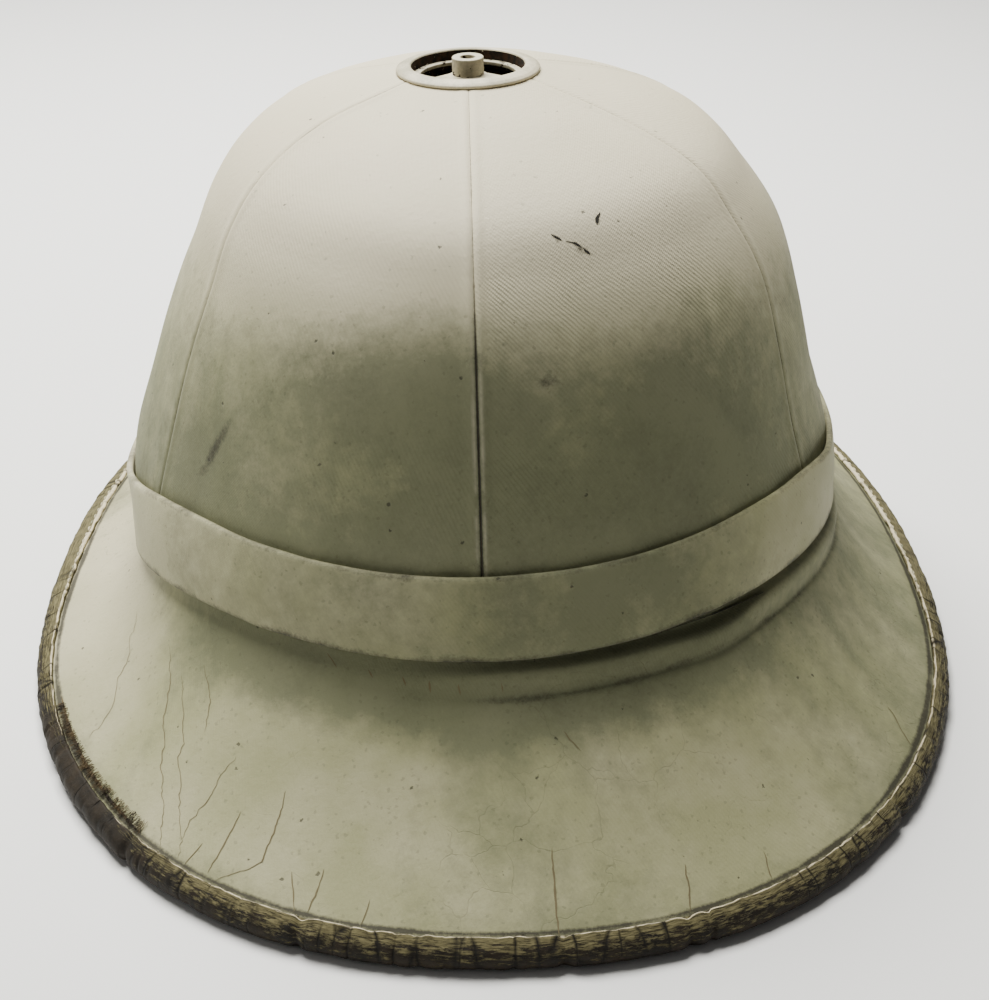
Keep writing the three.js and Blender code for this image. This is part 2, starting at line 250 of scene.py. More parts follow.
def mesh_piece(name, points, faces, material, uv=None, layers=None):
    """A piece of the helmet, from points in millimetres."""
    mesh = bpy.data.meshes.new(name)
    mesh.from_pydata((np.asarray(points) * MM).tolist(), [], [list(map(int, f)) for f in faces])
    mesh.polygons.foreach_set("use_smooth", [True] * len(mesh.polygons))
    for layer, values in (layers or {}).items():
        made = mesh.attributes.new(layer, "FLOAT", "POINT")
        made.data.foreach_set("value", np.asarray(values, float).ravel())
    if uv is not None:
        corners = np.zeros(len(mesh.loops), int)
        mesh.loops.foreach_get("vertex_index", corners)
        mesh.uv_layers.new(name="cloth").data.foreach_set("uv", (np.asarray(uv) * 0.01)[corners].ravel())
    mesh.materials.append(material)
    mesh.update()
    piece = bpy.data.objects.new(name, mesh)
    bpy.context.collection.objects.link(piece)
    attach(piece, "root")
    return piece


def ring_faces(stations, count):
    """Quads of a ring whose sections are closed outlines."""
    j, i = np.meshgrid(np.arange(stations), np.arange(count), indexing="ij")
    after = (j + 1) % stations
    beside = (i + 1) % count
    quads = np.stack([j * count + i, after * count + i, after * count + beside, j * count + beside], -1)
    return quads.reshape(-1, 4)


def ring_piece(name, sections, material, uv=None, layers=None):
    stations, count = sections.shape[:2]
    flat_uv = None if uv is None else uv.reshape(-1, 2)
    return mesh_piece(
        name, sections.reshape(-1, 3), ring_faces(stations, count), material, flat_uv, layers
    )


def patch_faces(rows, columns):
    """Quads of a padded patch: its top, its back and its rim."""
    i, j = np.meshgrid(np.arange(rows - 1), np.arange(columns - 1), indexing="ij")
    a = (i * columns + j).ravel()
    top = np.stack([a, a + 1, a + columns + 1, a + columns], -1)
    half = rows * columns
    back = top[:, ::-1] + half
    rim = list(range(columns - 1))
    rim += [r * columns + columns - 1 for r in range(rows - 1)]
    rim += [(rows - 1) * columns + c for c in range(columns - 1, 0, -1)]
    rim += [r * columns for r in range(rows - 1, 0, -1)]
    following = rim[1:] + rim[:1]
    sides = [(b, a, a + half, b + half) for a, b in zip(rim, following)]
    return top.tolist() + back.tolist() + sides


def turned_piece(name, profile, material, segments=144, layers=None):
    """A ring turned round the crown's axis; profile holds (radius, height over the crown's top)."""
    angle = np.linspace(0, TURN, segments, endpoint=False)[:, None]
    profile = np.array(profile)
    x = profile[None, :, 0] * np.sin(angle)
    y = -profile[None, :, 0] * np.cos(angle)
    z = CROWN_ROWS[-1, 0] + profile[None, :, 1] + 0 * angle
    return ring_piece(name, lean(x, y, z), material, layers=layers)


def softened(corners, radius, steps=3):
    """A closed outline with each corner rounded."""
    corners = [np.array(c, float) for c in corners]
    outline = []
    for before, corner, after in zip(corners[-1:] + corners[:-1], corners, corners[1:] + corners[:1]):
        back = (before - corner) / np.linalg.norm(before - corner)
        on = (after - corner) / np.linalg.norm(after - corner)
        reach = min(radius, np.linalg.norm(before - corner) * 0.45, np.linalg.norm(after - corner) * 0.45)
        start = corner + back * reach
        end = corner + on * reach
        for step in range(steps + 1):
            t = step / steps
            outline.append((1 - t) ** 2 * start + 2 * t * (1 - t) * corner + t * t * end)
    return outline


# ---------------------------------------------------------------- shader building

def srgb(red, green, blue):
    """A paint-card colour, 0 to 255, as the linear colour that a shader takes."""
    linear = [((v / 255 + 0.055) / 1.055) ** 2.4 if v > 10 else v / 255 / 12.92 for v in (red, green, blue)]
    return (*linear, 1)


def add(tree, kind, inputs=None, **settings):
    """A node with its settings and inputs; an input is a value or the socket that feeds it."""
    made = tree.nodes.new(kind)
    for name, value in settings.items():
        setattr(made, name, value)
    for key, value in (inputs or {}).items():
        if isinstance(value, bpy.types.NodeSocket):
            tree.links.new(value, made.inputs[key])
        else:
            made.inputs[key].default_value = value
    return made


def maths(tree, operation, *values, clamp=False):
    made = add(tree, "ShaderNodeMath", dict(enumerate(values)), operation=operation, use_clamp=clamp)
    return made.outputs[0]


def blend(tree, share, first, second, kind="MIX"):
    made = add(tree, "ShaderNodeMix", data_type="RGBA", blend_type=kind)
    for socket, value in ((made.inputs[0], share), (made.inputs[6], first), (made.inputs[7], second)):
        if isinstance(value, bpy.types.NodeSocket):
            tree.links.new(value, socket)
        else:
            socket.default_value = value
    return made.outputs[2]


def spread(tree, value, low, high, start=0.0, end=1.0):
    """value from low to high, brought to start to end."""
    made = add(tree, "ShaderNodeMapRange", {0: value, 1: low, 2: high, 3: start, 4: end}, clamp=True)
    return made.outputs[0]


def layer(tree, name):
    """A mask that a piece's mesh carries."""
    return add(tree, "ShaderNodeAttribute", attribute_name=name).outputs["Fac"]


def place(tree):
    return add(tree, "ShaderNodeTexCoord").outputs["Object"]


def cloud(tree, where, scale, detail=4.0, roughness=0.6, distortion=0.0):
    made = add(tree, "ShaderNodeTexNoise", {
        "Vector": where, "Scale": scale, "Detail": detail, "Roughness": roughness, "Distortion": distortion,
    })
    return made.outputs["Fac"]


def group(name, inputs, outputs, build):
    """A node group: inputs are (name, kind, value), outputs are (name, kind)."""
    tree = bpy.data.node_groups.new(name, "ShaderNodeTree")
    for label, kind, value in inputs:
        socket = tree.interface.new_socket(name=label, in_out="INPUT", socket_type=kind)
        if value is not None:
            socket.default_value = value
    for label, kind in outputs:
        tree.interface.new_socket(name=label, in_out="OUTPUT", socket_type=kind)
    given = tree.nodes.new("NodeGroupInput").outputs
    results = build(tree, given)
    end = tree.nodes.new("NodeGroupOutput")
    for label, socket in results.items():
        tree.links.new(socket, end.inputs[label])
    return tree


def use(tree, made, inputs):
    """A node group put into a material; what it gives is read by name."""
    node = tree.nodes.new("ShaderNodeGroup")
    node.node_tree = made
    for key, value in inputs.items():
        if isinstance(value, bpy.types.NodeSocket):
            tree.links.new(value, node.inputs[key])
        else:
            node.inputs[key].default_value = value
    return node.outputs


FLOAT = "NodeSocketFloat"
VECTOR = "NodeSocketVector"


def build_twill(tree, given):
    """Diagonal twill ribs, uneven like hand-painted cloth."""
    uv = add(tree, "ShaderNodeSeparateXYZ", {0: given["Cloth"]}).outputs
    wander = cloud(tree, given["Cloth"], 14.0, 2.0)
    diagonal = maths(tree, "ADD", uv[0], maths(tree, "MULTIPLY", uv[1], 0.75))
    wavy = maths(tree, "ADD", diagonal, maths(tree, "MULTIPLY", wander, 0.012))
    ribs = maths(tree, "SINE", maths(tree, "MULTIPLY", wavy, given["Ribs"]))
    other = maths(tree, "SUBTRACT", uv[0], uv[1])
    threads = maths(tree, "SINE", maths(tree, "MULTIPLY", other, maths(tree, "MULTIPLY", given["Ribs"], 1.7)))
    height = maths(tree, "ADD", maths(tree, "MULTIPLY", ribs, 0.36), maths(tree, "MULTIPLY", threads, 0.14))
    return {"Height": maths(tree, "ADD", height, 0.5)}


def build_grime(tree, given):
    """Blotchy dirt and painted shade: broad clouds broken up by fine grain."""
    broad = cloud(tree, given["Place"], given["Scale"], 5.0, 0.62, 0.4)
    fine = cloud(tree, given["Place"], maths(tree, "MULTIPLY", given["Scale"], 14.0), 5.0, 0.75)
    both = maths(tree, "ADD", maths(tree, "MULTIPLY", broad, 0.62), maths(tree, "MULTIPLY", fine, 0.38))
    low = maths(tree, "SUBTRACT", 0.78, given["Amount"])
    return {"Mask": spread(tree, both, low, maths(tree, "ADD", low, 0.26))}


def build_specks(tree, given):
    """Small dark pits and spots, thick in some places and absent in others."""
    ragged = add(tree, "ShaderNodeTexNoise", {"Vector": given["Place"], "Scale": 1400.0, "Detail": 2.0})
    nudge = add(tree, "ShaderNodeVectorMath", {0: ragged.outputs["Color"], 1: (0.0012, 0.0012, 0.0012)},
                operation="MULTIPLY")
    moved = add(tree, "ShaderNodeVectorMath", {0: given["Place"], 1: nudge.outputs[0]}, operation="ADD")
    cells = add(tree, "ShaderNodeTexVoronoi", {"Vector": moved.outputs[0], "Scale": given["Scale"]},
                feature="F1")
    size = maths(tree, "MULTIPLY", given["Size"], cloud(tree, given["Place"], 900.0, 1.0))
    dot = spread(tree, cells.outputs["Distance"], size, maths(tree, "MULTIPLY", size, 1.5), 1.0, 0.0)
    pick = add(tree, "ShaderNodeSeparateXYZ", {0: cells.outputs["Color"]}).outputs[0]
    where = cloud(tree, given["Place"], 30.0, 3.0)
    chosen = maths(tree, "LESS_THAN", pick, maths(tree, "MULTIPLY", where, given["Share"]))
    return {"Mask": maths(tree, "MULTIPLY", dot, chosen)}


def build_crazing(tree, given):
    """Hair cracks of old paint, in patches."""
    bend = add(tree, "ShaderNodeTexNoise", {"Vector": given["Place"], "Scale": 90.0, "Detail": 3.0})
    pushed = add(tree, "ShaderNodeVectorMath", {0: bend.outputs["Color"], 1: (0.012, 0.012, 0.012)},
                 operation="MULTIPLY")
    moved = add(tree, "ShaderNodeVectorMath", {0: given["Place"], 1: pushed.outputs[0]}, operation="ADD")
    cells = add(tree, "ShaderNodeTexVoronoi", {"Vector": moved.outputs[0], "Scale": given["Scale"]},
                feature="DISTANCE_TO_EDGE")
    line = spread(tree, cells.outputs["Distance"], 0.0, given["Width"], 1.0, 0.0)
    where = spread(tree, cloud(tree, given["Place"], 22.0, 3.0), 0.5, 0.62)
    return {"Mask": maths(tree, "MULTIPLY", line, where)}


TWILL = group("twill_weave", [("Cloth", VECTOR, None), ("Ribs", FLOAT, 450.0)],
              [("Height", FLOAT)], build_twill)
GRIME_AND_SHADE = group("grime_and_shade", [("Place", VECTOR, None), ("Scale", FLOAT, 14.0), ("Amount", FLOAT, 0.3)],
              [("Mask", FLOAT)], build_grime)
SPECKS = group("specks", [("Place", VECTOR, None), ("Scale", FLOAT, 300.0), ("Size", FLOAT, 0.3),
                          ("Share", FLOAT, 0.3)], [("Mask", FLOAT)], build_specks)
CRAZING = group("paint_crazing", [("Place", VECTOR, None), ("Scale", FLOAT, 60.0), ("Width", FLOAT, 0.02)],
                [("Mask", FLOAT)], build_crazing)


def material(name, roughness, metallic=0.0):
    made = bpy.data.materials.new(name)
    made.use_nodes = True
    shader = made.node_tree.nodes["Principled BSDF"]
    shader.inputs["Roughness"].default_value = roughness
    shader.inputs["Metallic"].default_value = metallic
    return made, made.node_tree, shader


def relief(tree, shader, height, strength, distance):
    bump = add(tree, "ShaderNodeBump", {"Height": height, "Strength": strength, "Distance": distance * MM})
    tree.links.new(bump.outputs[0], shader.inputs["Normal"])


CREAM = srgb(230, 221, 197)
CREAM_WARM = srgb(214, 202, 172)
# The film, mould and soot colours below also paint shade and shadow where a piece's layers carry it.
FILM_AND_SHADE = srgb(152, 151, 112)
OLIVE = srgb(103, 106, 80)
MOULD_AND_SHADE = srgb(75, 77, 57)
SOOT_AND_SHADE = srgb(38, 34, 26)
RUST = srgb(120, 76, 44)
HIDE = srgb(44, 36, 25)
HIDE_DARK = srgb(22, 19, 15)


def painted_cloth(name, weave, weave_strength, crazed):
    """Old cream paint over twill. The mesh's layers say where it is soiled and where shade is painted: film
    for the yellowed grey film and painted shade, mould for the olive bloom and painted shade, soot for black
    lines in seams and folds and painted shadow under the band, wear where rubbed."""
    made, tree, shader = material(name, 0.82)
    where = place(tree)
    cloth = add(tree, "ShaderNodeUVMap", uv_map="cloth").outputs[0]
    tint = blend(tree, cloud(tree, where, 9.0, 4.0), CREAM, CREAM_WARM)
    uneven = spread(tree, cloud(tree, where, 34.0, 6.0, 0.66), 0.28, 0.72, 0.78, 1.12)
    filmed_and_shaded = blend(tree, maths(tree, "MULTIPLY", layer(tree, "film_and_shade"), uneven, clamp=True), tint, FILM_AND_SHADE)
    bloom_amount = maths(tree, "MULTIPLY", layer(tree, "mould_and_shade"), 0.62)
    bloom_and_shade = use(tree, GRIME_AND_SHADE, {"Place": where, "Scale": 13.0, "Amount": bloom_amount})
    olive = blend(tree, maths(tree, "MULTIPLY", bloom_and_shade["Mask"], 0.8), filmed_and_shaded, OLIVE)
    deep_amount = maths(tree, "MULTIPLY", layer(tree, "mould_and_shade"), 0.36)
    deep = use(tree, GRIME_AND_SHADE, {"Place": where, "Scale": 46.0, "Amount": deep_amount})
    mouldy_and_shaded = blend(tree, maths(tree, "MULTIPLY", deep["Mask"], 0.5), olive, MOULD_AND_SHADE)
    dirt = use(tree, GRIME_AND_SHADE, {"Place": where, "Scale": 75.0, "Amount": layer(tree, "soot_and_shade")})
    sooty_and_shaded = blend(tree, maths(tree, "MULTIPLY", dirt["Mask"], 0.9), mouldy_and_shaded, SOOT_AND_SHADE)
    spot_share = maths(tree, "MULTIPLY_ADD", layer(tree, "film_and_shade"), 0.16, 0.16)
    spots = use(tree, SPECKS, {"Place": where, "Scale": 230.0, "Size": 0.15, "Share": spot_share})
    spotted = blend(tree, maths(tree, "MULTIPLY", spots["Mask"], 0.7), sooty_and_shaded, SOOT_AND_SHADE)
    pore_share = maths(tree, "MULTIPLY", layer(tree, "film_and_shade"), 0.7)
    pores = use(tree, SPECKS, {"Place": where, "Scale": 560.0, "Size": 0.36, "Share": pore_share})
    pored = blend(tree, maths(tree, "MULTIPLY", pores["Mask"], 0.26), spotted, MOULD_AND_SHADE)
    rubbed = maths(tree, "MULTIPLY", layer(tree, "wear_and_highlight"), spread(tree, cloud(tree, where, 120.0), 0.35, 0.6))
    final = blend(tree, maths(tree, "MULTIPLY", rubbed, 0.6), pored, CREAM)
    craze = use(tree, CRAZING, {"Place": where, "Scale": 60.0, "Width": 0.008})["Mask"]
    lined = blend(tree, maths(tree, "MULTIPLY", craze, crazed), final, MOULD_AND_SHADE)
    ribs = use(tree, TWILL, {"Cloth": cloth, "Ribs": weave})["Height"]
    patchy = spread(tree, cloud(tree, where, 18.0, 3.0), 0.4, 0.6, 0.25, 1.0)
    shown = maths(tree, "MULTIPLY", ribs, maths(tree, "MULTIPLY", patchy, layer(tree, "weave")))
    furrows = maths(tree, "MULTIPLY", maths(tree, "SUBTRACT", layer(tree, "weave"), shown, clamp=True), 0.16)
    ridged = blend(tree, furrows, lined, MOULD_AND_SHADE)
    tree.links.new(ridged, shader.inputs["Base Color"])
    grain = maths(tree, "MULTIPLY", cloud(tree, where, 560.0, 4.0, 0.7), 0.9)
    pits = maths(tree, "ADD", spots["Mask"], maths(tree, "MULTIPLY", craze, crazed))
    woven = maths(tree, "ADD", maths(tree, "MULTIPLY", shown, weave_strength), grain)
    height = maths(tree, "SUBTRACT", woven, pits)
    roughness = maths(tree, "ADD", 0.76, maths(tree, "MULTIPLY", bloom_and_shade["Mask"], 0.14))
    tree.links.new(roughness, shader.inputs["Roughness"])
    relief(tree, shader, height, 0.6, 0.3)
    return made


def flaking_leather():
    """Dark cracked leather. Cream paint is left as flakes drawn out along the edge: a pale line at
    the lip, which is a painted highlight, olive scales over the round, almost none below."""
    made, tree, shader = material("flaking_leather", 0.8)
    shader.inputs["Specular IOR Level"].default_value = 0.22
    where = place(tree)
    cloth = add(tree, "ShaderNodeUVMap", uv_map="cloth").outputs[0]
    drawn = add(tree, "ShaderNodeVectorMath", {0: cloth, 1: (0.7, 3.4, 1.0)}, operation="MULTIPLY").outputs[0]
    hide = blend(tree, spread(tree, cloud(tree, where, 160.0, 5.0, 0.7), 0.35, 0.65), HIDE_DARK, HIDE)
    scales = cloud(tree, drawn, 30.0, 7.0, 0.8, 0.2)
    scale_amount = layer(tree, "paint")
    painted = spread(tree, maths(tree, "ADD", scales, scale_amount), 0.97, 1.03)
    tone = spread(tree, cloud(tree, drawn, 40.0, 4.0), 0.35, 0.65)
    old_paint = blend(tree, tone, srgb(122, 115, 82), srgb(74, 68, 46))
    scaled = blend(tree, painted, hide, old_paint)
    bright = spread(tree, maths(tree, "ADD", cloud(tree, drawn, 18.0, 4.0), layer(tree, "wear_and_highlight")), 0.98, 1.06)
    final = blend(tree, bright, scaled, CREAM_WARM)
    ends = add(tree, "ShaderNodeVectorMath", {0: cloth, 1: (1.0, 0.12, 1.0)}, operation="MULTIPLY").outputs[0]
    splits = add(tree, "ShaderNodeTexVoronoi", {"Vector": ends, "Scale": 13.0}, feature="DISTANCE_TO_EDGE")
    split = spread(tree, splits.outputs["Distance"], 0.0, 0.05, 1.0, 0.0)
    opened = maths(tree, "MULTIPLY", split, spread(tree, cloud(tree, where, 60.0), 0.42, 0.55))
    tree.links.new(blend(tree, opened, final, HIDE_DARK), shader.inputs["Base Color"])
    roughness = maths(tree, "ADD", 0.7, maths(tree, "MULTIPLY", painted, 0.15))
    tree.links.new(roughness, shader.inputs["Roughness"])
    wrinkles = cloud(tree, where, 380.0, 6.0, 0.75)
    high = maths(tree, "ADD", wrinkles, maths(tree, "MULTIPLY", painted, 0.5))
    relief(tree, shader, maths(tree, "SUBTRACT", high, opened), 0.8, 0.5)
    return made


def pith_core():
    """Pressed pith: pale brown, coarse and dusty, with short fibres."""
    made, tree, shader = material("pressed_pith", 0.93)
    where = place(tree)
    grain = cloud(tree, where, 240.0, 6.0, 0.7)
    flecks = use(tree, SPECKS, {"Place": where, "Scale": 260.0, "Size": 0.45, "Share": 0.9})["Mask"]
    patches = spread(tree, cloud(tree, where, 16.0, 5.0), 0.35, 0.68)
    base = blend(tree, patches, srgb(171, 142, 98), srgb(134, 106, 70))
    speckled = blend(tree, maths(tree, "MULTIPLY", flecks, 0.5), base, srgb(88, 64, 40))
    tree.links.new(blend(tree, maths(tree, "MULTIPLY", grain, 0.4), speckled, srgb(196, 172, 130)),
                   shader.inputs["Base Color"])
    tree.links.new(spread(tree, grain, 0.3, 0.7, 0.84, 0.98), shader.inputs["Roughness"])
    relief(tree, shader, maths(tree, "SUBTRACT", grain, maths(tree, "MULTIPLY", flecks, 0.5)), 0.6, 0.5)
    return made


def painted_steel(name, bare):
    """Cream enamel over steel, chipped to dark rust; bare is how much has gone."""
    made, tree, shader = material(name, 0.5)
    where = place(tree)
    chips = cloud(tree, where, 330.0, 5.0, 0.7, 0.5)
    gone = spread(tree, maths(tree, "ADD", chips, layer(tree, "bare")), 1.0 - bare, 1.03 - bare)
    rust = blend(tree, spread(tree, cloud(tree, where, 500.0, 5.0), 0.4, 0.62), HIDE_DARK, RUST)
    dark = blend(tree, 0.75, rust, HIDE_DARK)
    enamel = blend(tree, cloud(tree, where, 90.0), CREAM, CREAM_WARM)
    dusty = use(tree, GRIME_AND_SHADE, {"Place": where, "Scale": 120.0, "Amount": 0.40})["Mask"]
    soiled = blend(tree, maths(tree, "MULTIPLY", dusty, 0.62), enamel, OLIVE)
    tree.links.new(blend(tree, gone, soiled, dark), shader.inputs["Base Color"])
    tree.links.new(maths(tree, "ADD", 0.52, maths(tree, "MULTIPLY", gone, 0.34)), shader.inputs["Roughness"])
    tree.links.new(maths(tree, "MULTIPLY", gone, 0.35), shader.inputs["Metallic"])
    rough = maths(tree, "MULTIPLY", cloud(tree, where, 900.0, 4.0), 0.5)
    relief(tree, shader, maths(tree, "SUBTRACT", rough, gone), 0.6, 0.18)
    return made


def packed_dirt_and_shadow(name, dark, light):
    """The dirt at the bottom of a crack, and the painted shadow in the band's slot."""
    made, tree, shader = material(name, 0.95)
    where = place(tree)
    tone = blend(tree, cloud(tree, where, 150.0), dark, light)
    tree.links.new(tone, shader.inputs["Base Color"])
    relief(tree, shader, cloud(tree, where, 900.0), 0.3, 0.1)
    return made


def fibre():
    """Frayed cloth and pith threads, dark with dirt."""
    made, tree, shader = material("frayed_fibre", 0.9)
    where = place(tree)
    tone = blend(tree, spread(tree, cloud(tree, where, 220.0), 0.4, 0.6), srgb(40, 32, 22), srgb(92, 76, 50))
    tree.links.new(tone, shader.inputs["Base Color"])
    relief(tree, shader, cloud(tree, where, 1200.0), 0.4, 0.1)
    return made


def thread():
    made, tree, shader = material("waxed_thread", 0.75)
    where = place(tree)
    tone = blend(tree, spread(tree, cloud(tree, where, 200.0), 0.35, 0.65), CREAM_WARM, OLIVE)
    tree.links.new(tone, shader.inputs["Base Color"])
    relief(tree, shader, cloud(tree, where, 1500.0), 0.4, 0.08)
    return made


crown_cloth = painted_cloth("crown_twill", 450.0, 1.0, 0.0)
band_cloth = painted_cloth("band_cloth", 520.0, 0.5, 0.0)
brim_cloth = painted_cloth("brim_cloth", 480.0, 0.35, 0.3)
binding_hide = flaking_leather()
pith = pith_core()
collar_steel = painted_steel("collar_enamel", 0.16)
crack_dirt = packed_dirt_and_shadow("crack_dirt", srgb(84, 74, 52), srgb(126, 116, 86))
# The darkest tone is the painted shadow in the band's slot, and the crown's scuff marks.
slot_dark = packed_dirt_and_shadow("slot_shadow_and_scuff_dark", srgb(16, 14, 10), srgb(40, 36, 27))
frayed = fibre()
stitch_thread = thread()


# ---------------------------------------------------------------- crown

def crown_dents(points, degrees, climb):
    """How far the cloth stands off its true form: slow waves and flutes over the band."""
    waves = 0.7 * ripple(points, 55, 1) + 0.25 * ripple(points, 19, 2)
    low = 1 - smooth(climb, 1.06, 1.42)
    flutes = 0.55 * low * line_ripple(degrees * 1.9, 11, 3)
    return (waves + flutes) * smooth(climb, 1.0, 1.06) * (1 - smooth(climb, 1.9, 2.0))


def seam_form(distance, climb):
    """The groove of a seam and the ridge of the cloth turned in beside it."""
    groove = -0.16 * hump(distance, 0, 0.4)
    turned = 0.26 * hump(distance, 1.5, 1.3)
    return (groove + turned) * (1 - 0.6 * smooth(climb, 1.94, 2.0))


def crown_soil(climb, degrees, seam, points):
    """The gore's layers: film, mould, soot, wear and how plainly the weave shows; film, mould and soot also
    carry painted shade on the wall.
    """
    # wall and low mark the steep lower crown. The film, mould and soot laid on them are partly real soiling,
    # partly painted shade where the overhead lamp misses the wall.
    wall = 1 - smooth(climb, 1.36, 1.74)
    low = 1 - smooth(climb, 1.02, 1.5)
    film_and_shade = 0.10 + 0.78 * wall + 0.25 * low + 0.1 * ripple(points, 36, 41)
    right_patch = 0.7 * hump(degrees, 40, 22) * hump(climb, 1.36, 0.2)
    left_patch = hump(degrees, -20, 17) * hump(climb, 1.40, 0.12)
    foot_patch = hump(degrees, -50, 9) * hump(climb, 1.26, 0.12)
    # centre adds painted shade on the front middle of the wall, where it is darkest.
    centre = hump(degrees, -2, 13) * hump(climb, 1.34, 0.17)
    mould_and_shade = 0.60 * wall + 0.36 * low * (0.4 + 0.6 * hump(degrees, -8, 48)) + 0.40 * right_patch
    mould_and_shade = mould_and_shade + 0.34 * left_patch + 0.22 * foot_patch + 0.30 * centre
    mould_and_shade = mould_and_shade + 0.10 * ripple(points, 30, 4) * wall
    over_band = hump(climb, 1.100, 0.024) + 0.8 * hump(climb, 1.112, 0.008)
    front_seam = hump(degrees, 0, 12)
    seam_line = hump(seam, 0, 0.32) * (0.20 + (0.04 + 0.20 * front_seam) * smooth(1.62 - climb, 0, 0.3))
    seam_haze = 0.12 * hump(seam, 0, 5) * wall * front_seam
    cluster = 0.40 * hump(degrees - (climb - 1.26) * 50, -46.5, 1.5) * hump(climb, 1.26, 0.05)
    stain = 0.36 * hump(degrees, 11, 2.4) * hump(climb, 1.414, 0.014)
    scuffs = 0.44 * hump(degrees, 17, 0.9) * hump(climb, 1.672, 0.008)
    scuffs += 0.44 * hump(degrees + (climb - 1.646) * 60, 21, 1.6) * hump(climb, 1.646, 0.012)
    scuffs += 0.44 * hump(degrees - (climb - 1.69) * 60, 26.3, 0.6) * hump(climb, 1.696, 0.016)
    soot_and_shade = 0.10 + 0.26 * over_band + seam_line + seam_haze + cluster + stain + scuffs + 0.05 * wall
    wear_and_highlight = 0.4 * hump(seam, 1.1, 0.5) * smooth(1.62 - climb, 0, 0.25) * (0.35 + 0.65 * front_seam)
    right_of_seam = smooth(degrees, 1, 5) * (1 - smooth(degrees, 30, 58)) * hump(climb, 1.52, 0.22)
    weave = 0.30 + 0.75 * right_of_seam
    layers = {"film_and_shade": film_and_shade, "mould_and_shade": mould_and_shade, "soot_and_shade": soot_and_shade, "wear_and_highlight": wear_and_highlight, "weave": weave}
    return {name: np.clip(values, 0, 1) for name, values in layers.items()}


def crown_gore(number):
    rows = 130
    columns = 84
    across = 0.5 - 0.5 * np.cos(np.linspace(0, math.pi, columns)) * 0.9 - 0.05 * np.linspace(1, -1, columns)
    climb, share = np.meshgrid(np.linspace(PANEL_FOOT, 2, rows), across, indexing="ij")
    first = TURN * number / PANELS
    middle = face_at(climb, first + TURN * share / PANELS)
    radius = np.linalg.norm((middle - CROWN_MIDDLE)[..., :2], axis=-1)
    trim = 0.04 / radius
    angle = first + trim + (TURN / PANELS - 2 * trim) * share
    face = face_at(climb, angle)
    normal = normal_at(climb, angle)
    arc = radius * TURN / PANELS
    seam = np.minimum(share, 1 - share) * arc
    degrees = signed(angle)
    lift = crown_dents(face, degrees, climb) * (0.35 + 0.65 * smooth(seam, 0, 6)) + seam_form(seam, climb)
    outer = face + normal * lift[..., None]
    inner = face - normal * CLOTH
    layers = crown_soil(climb, degrees, seam, face)
    both = {key: np.concatenate([v.ravel(), v.ravel()]) for key, v in layers.items()}
    uv = np.stack([(share - 0.5) * arc, (climb - 1) * 150], -1).reshape(-1, 2)
    points = np.concatenate([outer.reshape(-1, 3), inner.reshape(-1, 3)])
    piece = mesh_piece(f"gore_{number + 1}", points, patch_faces(rows, columns), crown_cloth,
                       np.concatenate([uv, uv]), both)
    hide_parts(f"crown_panel_{number + 1}")
    return piece


# ---------------------------------------------------------------- brim

ROLL_HEIGHT = 2.3
ROLL_DISTANCE = 8.0
ROLL_REACH = 4.5


def roll_form(degrees, distance):
    """The soft roll in the cloth under the band, on the front and the +X side."""
    along = smooth(degrees, -22, 12) * (1 - smooth(degrees, 100, 128))
    slot = hump(degrees, 34, 8)
    centre = ROLL_DISTANCE + 1.6 * slot
    share = np.clip(np.abs(distance - centre) / ROLL_REACH, 0, 1)
    crease = -0.5 * along * hump(distance, centre + 5.4, 1.1)
    return ROLL_HEIGHT * along * (1 - share**2) ** 2 + crease


def brim_distance(climb, angle):
    """How far a point of the brim is from its root, along the cloth."""
    return np.linalg.norm(brim_at(climb, angle) - brim_at(np.ones_like(climb), angle), axis=-1)


def brim_waves(points):
    """The brim cloth's slow and quick unevenness."""
    return 0.8 * ripple(points, 48, 6) + 0.22 * ripple(points, 15, 7)


